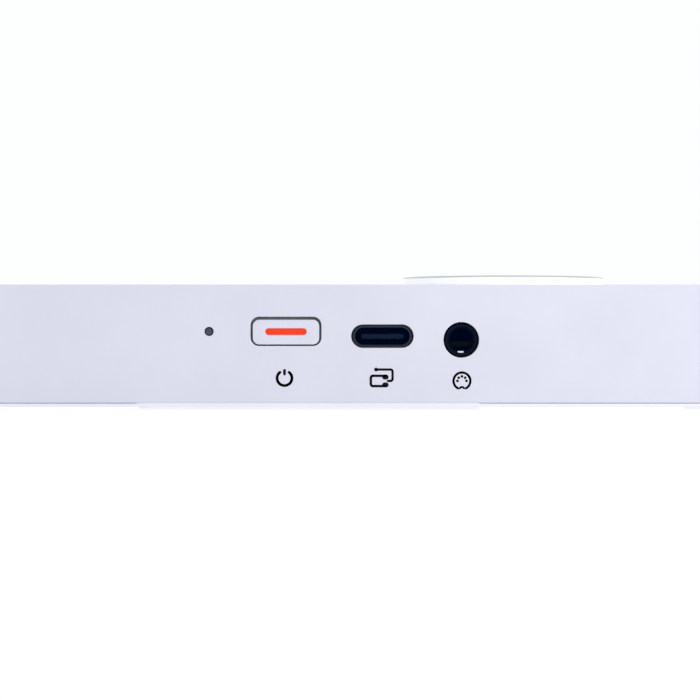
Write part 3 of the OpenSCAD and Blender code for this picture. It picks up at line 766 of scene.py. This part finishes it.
def make_usb_tongue():
    """The tongue with a fine front edge, and its rows of gold pads above and below."""
    lo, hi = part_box("usb_tongue")
    chamfer = 0.1 * MM
    rings = []
    for inset, y in ((0, lo.y), (0, hi.y - chamfer), (chamfer, hi.y)):
        outline = round_box(hi.x - lo.x - 2 * inset, hi.z - lo.z - 2 * inset, 0.2 * MM)
        rings.append(ring_at(outline, USB, y, "Y"))
    bm = bmesh.new()
    loft(bm, rings)
    finish_mesh("usb_port_tongue", bm, LOOK["tongue"], "root", ["usb_tongue"])

    bm = bmesh.new()
    pads, pitch, proud = 12, 0.5 * MM, 0.008 * MM
    pad = round_box(0.25 * MM, 2 * MM, 0.05 * MM, 2)
    for side in (-1, 1):
        z = USB.z + side * (hi.z - lo.z) / 2
        for i in range(pads):
            spot = Vector((USB.x + (i - (pads - 1) / 2) * pitch, hi.y - 1.6 * MM, 0))
            loft(bm, [ring_at(pad, spot, z - proud), ring_at(pad, spot, z + proud)])
    finish_mesh("usb_port_pads", bm, LOOK["gold"], "root")


def make_jack_body():
    """The moulded jack: a body with wings on the board, a stepped nose and a bore painted dark as
    shade.
    """
    lo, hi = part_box("jack_body")
    bore_r, nose_r, steps = 1.8 * MM, 2.5 * MM, 24
    block_y = REAR - 2.3 * MM
    block = round_box(6.4 * MM, hi.z - lo.z, 0.5 * MM, steps - 1)
    rings = [ring_at(block, JACK, y, "Y") for y in (lo.y, block_y)]
    lip = [(2.46, 0.05), (2.36, 0), (2.26, 0.02), (2.16, 0.1), (2.06, 0.08), (2.0, 0.14),
           (1.97, 0.3), (1.88, 0.42)]
    nose = [(nose_r, block_y), (nose_r, hi.y - 0.14 * MM)]
    nose += [(r * MM, hi.y - depth * MM) for r, depth in lip]
    nose += [(bore_r, hi.y - 0.5 * MM), (bore_r, lo.y + 1.1 * MM), (bore_r - 0.1 * MM, lo.y + MM)]
    turns = [2 * math.pi * (i + 0.5) / (4 * steps) for i in range(4 * steps)]
    for r, y in nose:
        circle = [(r * math.cos(t), r * math.sin(t)) for t in turns]
        rings.append(ring_at(circle, JACK, y, "Y"))
    bm = bmesh.new()
    loft(bm, rings)
    # The bore's faces take the painted shade.
    for face in bm.faces:
        centre = face.calc_center_median()
        inside = math.hypot(centre.x - JACK.x, centre.z - JACK.z) < bore_r + TINY
        face.material_index = int(inside and centre.y > lo.y + 0.5 * MM)

    wings, wing_thick = round_box(9.2 * MM, 7.7 * MM, 0.3 * MM), 0.8 * MM
    wing_mid = Vector((JACK.x, (lo.y + block_y) / 2 + 0.9 * MM, 0))
    loft(bm, [ring_at(wings, wing_mid, z) for z in (BOARD, BOARD + wing_thick)])
    finish_mesh("jack_moulding", bm, [LOOK["black"], LOOK["inside"]], "root",
                ["jack_body"], 25)


def make_jack_contacts():
    """The bright ground tip low in the jack's mouth, and the springs inside."""
    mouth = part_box("jack_body")[1].y
    tip = Vector((JACK.x + 0.1 * MM, 0, JACK.z - 1.87 * MM))
    w, h, corner = MM, 0.31 * MM, 0.1 * MM
    rings = []
    for inset, depth in ((0, 1.2), (0, 0.3), (0.03, 0.24), (0.1, 0.21)):
        inset *= MM
        outline = round_box(w - inset, h - inset, corner - inset / 2, 4)
        rings.append(ring_at(outline, tip, mouth - depth * MM, "Y"))
    bm = bmesh.new()
    loft(bm, rings)
    finish_mesh("jack_ground_tip", bm, LOOK["contact"], "root")

    # The springs take the dark nickel plating, which also paints them as dark as the shade in the
    # bore.
    springs = welded("jack_contacts")
    round_edges(springs, 0.05 * MM, lambda p, q: True, segments=2)
    finish_mesh("jack_springs", springs, LOOK["port metal"], "root",
                ["jack_contacts"])


# ---- Printed marks ----

INK_LOW, INK_HIGH = 0.002 * MM, 0.02 * MM


def print_shape(bm, outline, to_world):
    """Lays an outline on a surface as a thin film of ink."""
    loft(bm, [[to_world(p, h) for p in outline] for h in (INK_LOW, INK_HIGH)])


def stroke(bm, points, width, to_world):
    """A printed line with round ends through the points."""
    end_steps = 8
    for first, last in zip(points, points[1:]):
        a, b = Vector(first), Vector(last)
        along = (b - a).normalized()
        angle = math.atan2(along.y, along.x)
        outline = []
        for end, start in ((b, angle - math.pi / 2), (a, angle + math.pi / 2)):
            for k in range(end_steps + 1):
                t = start + math.pi * k / end_steps
                outline.append(end + Vector((math.cos(t), math.sin(t))) * width / 2)
        print_shape(bm, outline, to_world)


def dot(bm, centre, radius, to_world):
    """A printed round dot."""
    steps = 24
    print_shape(bm, arc(*centre, radius, 0, 360 * (1 - 1 / steps), steps - 1), to_world)


def arc(cx, cy, r, start, end, steps):
    """Points along an arc from one angle to another, in degrees."""
    points = []
    for i in range(steps + 1):
        a = math.radians(start + (end - start) * i / steps)
        points.append((cx + r * math.cos(a), cy + r * math.sin(a)))
    return points


def on_rear(x, z):
    """Maps right and up, as seen from behind, onto the rear wall about a point."""
    return lambda p, h: Vector((x - p[0], REAR + h, z + p[1]))


def on_deck(x, y):
    """Maps right and up, as the player sees them, onto the deck about a point."""
    return lambda p, h: Vector((x + p[0], y + p[1], DECK + h))


def draw_power_mark(bm):
    """An arc that is open at the top, with a bar in the gap."""
    at = on_rear(POWER.x + 0.22 * MM, DECK - 14.47 * MM)
    line = 0.43 * MM
    stroke(bm, arc(0, 0, 1.15 * MM, 128, 412, 40), line, at)
    stroke(bm, [(0, 0.63 * MM), (0, 1.2 * MM)], line, at)


def draw_device_mark(bm):
    """A device's open outline with two sockets, and a lead over it that ends in a dot."""
    at = on_rear(USB.x + 0.1 * MM, DECK - 14.4 * MM)
    case_line, socket_line, lead_line = 0.39 * MM, 0.78 * MM, 0.36 * MM
    left, right, low, high, bend = -1.68 * MM, 0.55 * MM, -1.3 * MM, 0.29 * MM, 0.34 * MM
    case = [(right, high)]
    for y, start in ((high - bend, 90), (low + bend, 180)):
        case += arc(left + bend, y, bend, start, start + 90, 5)
    case += [(right, low)]
    stroke(bm, case, case_line, at)
    for y in (high - 0.19 * MM, low + 0.19 * MM):
        stroke(bm, [(0.45 * MM, y), (0.68 * MM, y)], socket_line, at)

    lead_left, lead_right, lead_top, lead_low = -0.86 * MM, 1.36 * MM, 1.26 * MM, -0.5 * MM
    turn = 0.32 * MM
    lead = [(lead_left, lead_top), (lead_right, lead_top)]
    lead += arc(lead_right, lead_top - turn, turn, 90, 0, 5)
    lead += arc(lead_right, lead_low + turn, turn, 0, -90, 5)
    lead += [(0.95 * MM, lead_low)]
    stroke(bm, lead, lead_line, at)
    dot(bm, (lead_left, lead_top), 0.3 * MM, at)


def draw_plug_mark(bm):
    """A round plug's face, with a notch below and five pins above."""
    at = on_rear(JACK.x - 0.1 * MM, DECK - 14.9 * MM)
    rim, pin_circle, pin_r = 1.3 * MM, 0.7 * MM, 0.21 * MM
    stroke(bm, arc(0, 0, rim, -62, 242, 40), 0.36 * MM, at)
    stroke(bm, arc(0, -rim, 0.36 * MM, 150, 30, 8), 0.32 * MM, at)
    for pin in arc(0, 0, pin_circle, 0, 180, 4):
        dot(bm, pin, pin_r, at)


def make_rear_marks():
    """The three printed symbols under the ports."""
    bm = bmesh.new()
    draw_power_mark(bm)
    draw_device_mark(bm)
    draw_plug_mark(bm)
    finish_mesh("rear_marks", bm, LOOK["ink"], "root")


def draw_level_dots(bm):
    """Dots round the dial that grow from quiet to loud."""
    at = on_deck(DIAL.x, DIAL.y)
    dots, sweep, reach, furthest_back = 11, 280, DIAL_R + 2.1 * MM, 18.4 * MM
    for i, (x, y) in enumerate(arc(0, 0, reach, 90 + sweep / 2, 90 - sweep / 2, dots - 1)):
        dot(bm, (x, min(y, furthest_back)), (0.25 + 0.04 * i) * MM, at)


def draw_button_marks(bm):
    """A note, a minus and a plus, each in front of its function button."""
    def in_front_of(node):
        return on_deck(middle(node).x, middle(node).y - 8.2 * MM)

    at = in_front_of("button_sound")
    dot(bm, (-0.5 * MM, -1.0 * MM), 0.62 * MM, at)
    stroke(bm, [(0, -1.0 * MM), (0, 1.3 * MM), (0.9 * MM, 0.6 * MM)], 0.3 * MM, at)
    half, line = 1.1 * MM, 0.34 * MM
    level, upright = [(-half, 0), (half, 0)], [(0, -half), (0, half)]
    for node, bars in (("button_minus", [level]), ("button_plus", [level, upright])):
        for bar in bars:
            stroke(bm, bar, line, in_front_of(node))


def make_deck_marks():
    """The printed symbols on the deck."""
    bm = bmesh.new()
    draw_level_dots(bm)
    draw_button_marks(bm)
    finish_mesh("deck_marks", bm, LOOK["ink"], "root")


# ---- Carried-over CAD nodes ----

CARRIED = {
    "screws": "steel", "hinge_rod": "steel", "key_frame": "frame",
    "key_board": "board", "control_boards": "board", "tact_switches": "black",
    "battery": "wrap", "speakers": "cone", "volume_pot": "pot",
}


def finish_carried_nodes():
    for node, look in CARRIED.items():
        for holder in NODES[node].material_slots:
            holder.material = LOOK[look]


# ---- Stage, light and camera ----

def make_stage():
    """A pale floor with a faint glow of its own, which meets the white room without a horizon."""
    half, below_feet, patch = 12.0, 0.02 * MM, 0.4
    near, far, glow_near, glow_far = 0.45, 2.0, 0.6, 0.685
    bm = bmesh.new()
    bmesh.ops.create_grid(bm, x_segments=2, y_segments=2, size=half)
    mesh = bpy.data.meshes.new("floor")
    bm.to_mesh(mesh)
    bm.free()
    mat, shader = material("pale floor", Roughness=0.7, Specular_IOR_Level=0.1,
                           Emission_Color=(0.98, 1.0, 0.99, 1))
    link(mat, tint(mat, noise(mat, patch, 2), (0.39, 0.40, 0.395), (0.40, 0.41, 0.405)),
         shader.inputs["Base Color"])
    away = add(mat, "VectorMath", operation="LENGTH")
    link(mat, place(mat), away.inputs[0])
    link(mat, between(mat, away.outputs["Value"], glow_near, glow_far, near, far),
         shader.inputs["Emission Strength"])
    mesh.materials.append(mat)
    floor = bpy.data.objects.new("floor", mesh)
    floor.location.z = -below_feet
    bpy.context.scene.collection.objects.link(floor)


def make_world():
    """A white room: paper white where it is seen, and dimmer as light from the rear side."""
    bright, dim = 1.0, 0.72
    world = bpy.data.worlds.new("white room")
    bpy.context.scene.world = world
    world.use_nodes = True
    world.node_tree.nodes.clear()
    seen = add(world, "Background", Color=(0.976, 1.0, 0.991, 1), Strength=1.0)
    lit = add(world, "Background", Color=(1.0, 1.0, 1.0, 1))
    coord = add(world, "TexCoord")
    split = add(world, "SeparateXYZ")
    path = add(world, "LightPath")
    mix = add(world, "MixShader")
    out = add(world, "OutputWorld")
    link(world, coord.outputs["Generated"], split.inputs[0])
    link(world, between(world, split.outputs["Y"], bright, dim, -0.9, 0), lit.inputs["Strength"])
    link(world, path.outputs["Is Camera Ray"], mix.inputs[0])
    link(world, lit.outputs[0], mix.inputs[1])
    link(world, seen.outputs[0], mix.inputs[2])
    link(world, mix.outputs[0], out.inputs["Surface"])


def make_lamp(name, spot, aim, size, watts):
    """A soft rectangular lamp, unseen by the camera and in gloss."""
    data = bpy.data.lights.new(name, "AREA")
    data.shape = "RECTANGLE"
    data.size, data.size_y = size
    data.energy = watts
    lamp = bpy.data.objects.new(name, data)
    lamp.location = spot
    lamp.rotation_euler = (Vector(aim) - Vector(spot)).to_track_quat("-Z", "Y").to_euler()
    lamp.visible_camera = False
    lamp.visible_glossy = False
    bpy.context.scene.collection.objects.link(lamp)


def make_camera():
    """Level, square to the rear edge, close enough to take in the ports and the dial."""
    lens, sensor, view_width = 160, 36, 108.18 * MM
    view_x, below_deck = -146 * MM, 10.12 * MM
    data = bpy.data.cameras.new("camera")
    data.lens, data.sensor_width = lens, sensor
    data.clip_start, data.clip_end = 0.01, 50
    camera = bpy.data.objects.new("camera", data)
    camera.location = (view_x, REAR + view_width * lens / sensor, DECK - below_deck)
    camera.rotation_euler = (math.radians(90), 0, math.radians(180))
    bpy.context.scene.collection.objects.link(camera)
    bpy.context.scene.camera = camera


make_camera()
make_world()
make_stage()
make_lamp("side softbox", spot=(-0.40, 0.30, 0.10), aim=(-0.15, REAR, 0.01), size=(0.25, 0.15),
          watts=0.54)
make_lamp("top softbox", spot=(0.15, -0.15, 1.1), aim=(0, 0, 0), size=(0.7, 0.7), watts=3)
bpy.context.scene.view_settings.view_transform = "Standard"

make_top_cover()
make_surround()
make_bottom_cover()
make_feet()
make_grilles()
for key in KEYS:
    make_key(key)
make_felt()
make_dome_web()
make_domes()
make_dial_cap()
make_dial_ring()
for button in ("button_sound", "button_minus", "button_plus"):
    make_button(button)
make_power_cap()
make_power_light()
make_status_light()
make_usb_shell()
make_usb_tongue()
make_jack_body()
make_jack_contacts()
make_rear_marks()
make_deck_marks()
finish_carried_nodes()
